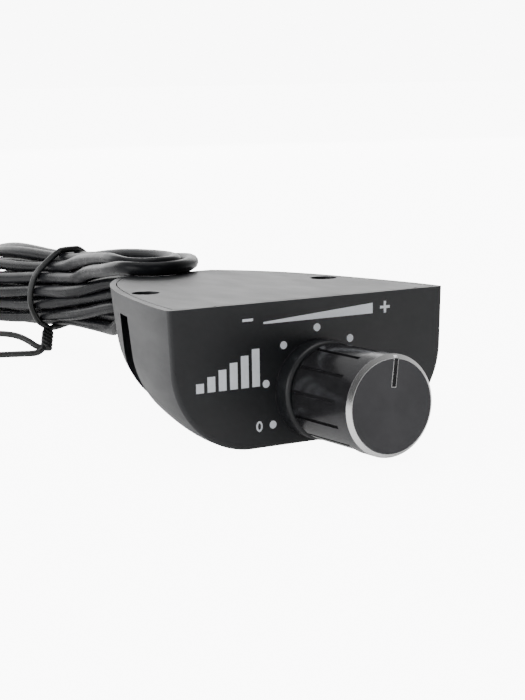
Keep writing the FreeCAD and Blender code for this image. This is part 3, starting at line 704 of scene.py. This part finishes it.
def make_twist_tie(route):
    """Coated wire once round the hank; its ends are twisted together below it and bent away."""
    coating = moulded("tie_coating", (0.009, 0.010, 0.010), 0.34, 0.4, 0.004)
    ring = tie_ring(route)
    knot = np.array(ring[0]) + (-0.2, -1.2, -0.9)
    end = np.array((3.6, 82.8, 1.6))
    front = []
    back = []
    for k in range(TWIST_PARTS + 1):
        along = k / TWIST_PARTS
        middle = knot + (end - knot) * along
        angle = along * TWISTS * 2 * math.pi
        off = np.array((math.cos(angle), 0.8 * math.sin(angle), 0.2 * math.sin(angle))) * TWIST_R
        front.append(tuple(middle + off))
        back.append(tuple(middle - off))
    long_tail = [(1.6, 82.8, 0.8), (-0.9, 84.5, 0.7), (-4.5, 86.0, 0.7), (-9.0, 87.0, 0.8),
                 (-13.0, 89.5, 0.9)]
    short_tail = [(2.4, 84.2, 1.7), (1.2, 86.0, 3.0), (-0.4, 88.0, 4.0), (-2.8, 90.0, 4.4),
                  (-5.0, 92.5, 4.3)]
    path = list(reversed(long_tail)) + list(reversed(front)) + ring[1:-1] + back + short_tail
    tie = curve_piece("twist_tie_wire", path, TIE_WIRE_R, coating)
    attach(tie, "housing")
    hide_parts("twist_tie")
    return tie


# ---- printed marks ------------------------------------------------------------------------------------
FILM_FRONT = FACE_Y - 0.025
FILM_BACK = FACE_Y + 0.02
DOT_R = 0.6
DOT_CIRCLE_R = 9.27
DOT_STEP = 40             # degrees
NUMERAL_Z = 3.4


def ink():
    """Pale screen-printing ink, slightly uneven."""
    s = Shade("print_ink")
    blot = s.noise(0.35, 3.0)
    s.set(Base_Color=s.mix(s.span(blot, 0.3, 0.7, 0.0, 1.0), (0.84, 0.87, 0.93), (0.90, 0.93, 0.98)))
    s.set(Roughness=s.span(blot, 0.3, 0.7, 0.5, 0.65), Normal=s.bump(blot, 0.01))
    return s.material


def flat_print(name, outlines, material):
    """Thin printed film on the front face from closed outlines of (x, z) points."""
    build = bmesh.new()
    for outline in outlines:
        lower = [build.verts.new((x * MM, FILM_FRONT * MM, z * MM)) for x, z in outline]
        upper = [build.verts.new((x * MM, FILM_BACK * MM, z * MM)) for x, z in outline]
        build.faces.new(lower)
        build.faces.new(list(reversed(upper)))
        for i in range(len(outline)):
            j = (i + 1) % len(outline)
            build.faces.new((lower[i], upper[i], upper[j], lower[j]))
    bmesh.ops.recalc_face_normals(build, faces=build.faces)
    mesh = bpy.data.meshes.new(name)
    build.to_mesh(mesh)
    build.free()
    mesh.materials.append(material)
    piece = bpy.data.objects.new(name, mesh)
    bpy.context.collection.objects.link(piece)
    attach(piece, "housing")


def disc(x, z, radius, sides=32):
    """Round outline."""
    return [(x + radius * math.cos(2 * math.pi * i / sides), z + radius * math.sin(2 * math.pi * i / sides))
            for i in range(sides)]


def bar(x0, x1, z0, z1):
    """Upright rectangle."""
    return [(x0, z0), (x1, z0), (x1, z1), (x0, z1)]


def zero(x, z):
    """Numeral 0 from two halves, 1.6 mm high."""
    halves = []
    for begin in (0, math.pi):
        angles = [begin + math.pi * k / 12 for k in range(13)]
        outer = [(x + 0.55 * math.cos(a), z + 0.8 * math.sin(a)) for a in angles]
        inner = [(x + 0.27 * math.cos(a), z + 0.5 * math.sin(a)) for a in reversed(angles)]
        halves.append(outer + inner)
    return halves


def one(x, z):
    """Numeral 1, 1.6 mm high."""
    return [[(x - 0.14, z - 0.8), (x + 0.14, z - 0.8), (x + 0.14, z + 0.8), (x - 0.1, z + 0.8),
             (x - 0.45, z + 0.5), (x - 0.45, z + 0.25), (x - 0.14, z + 0.45)]]


def make_print():
    """Scale dots with their numerals, level bars, and a ramp between minus and plus."""
    paint = ink()
    dots = []
    for step in range(-3, 4):
        angle = math.radians(DOT_STEP * step)
        dots.append(disc(KNOB_X + DOT_CIRCLE_R * math.sin(angle), KNOB_Z + DOT_CIRCLE_R * math.cos(angle),
                         DOT_R))
    flat_print("scale_dots", dots, paint)
    low, high = TOP_Z - 3.2, TOP_Z - 1.6
    ramp = [[(-8.6, low), (11.0, low), (11.0, high), (-8.6, low + 0.3)]]
    middle = (low + high) / 2
    ramp.append(bar(-12.2, -10.4, middle - 0.2, middle + 0.2))
    ramp.append(bar(12.4, 14.2, middle - 0.2, middle + 0.2))
    ramp.append(bar(13.1, 13.5, middle + 0.2, middle + 0.9))
    ramp.append(bar(13.1, 13.5, middle - 0.9, middle - 0.2))
    flat_print("level_ramp", ramp, paint)
    bars = [bar(-20.2 + 1.9 * i, -18.9 + 1.9 * i, TOP_Z - 12.4, TOP_Z - 11.0 + 0.85 * i)
            for i in range(6)]
    flat_print("level_bars", bars, paint)
    numerals = zero(-9.6, NUMERAL_Z) + one(10.6, NUMERAL_Z) + zero(12.2, NUMERAL_Z)
    flat_print("scale_numerals", numerals, paint)


# ---- floor --------------------------------------------------------------------------------------------
def make_floor():
    """Plain pale floor, which the camera sees nearly white."""
    s = Shade("floor_paint")
    s.set(Base_Color=s.mix(s.noise(40.0, 2.0), grey(0.93), grey(0.96)), Roughness=0.9)
    seen = s.add("ShaderNodeLightPath").outputs["Is Camera Ray"]
    s.set(Emission_Color=grey(1.0), Emission_Strength=s.span(seen, 0.0, 1.0, FLOOR_GLOW, SEEN_WHITE))
    mesh = bpy.data.meshes.new("floor")
    half = 30.0               # metres
    corners = [(-half, -half, 0), (half, -half, 0), (half, half, 0), (-half, half, 0)]
    mesh.from_pydata(corners, [], [(0, 1, 2, 3)])
    mesh.materials.append(s.material)
    floor = bpy.data.objects.new("floor", mesh)
    bpy.context.collection.objects.link(floor)


make_camera()
make_studio()
make_floor()
jacket_material = dress_cad_parts()
make_cable(jacket_material)
make_print()
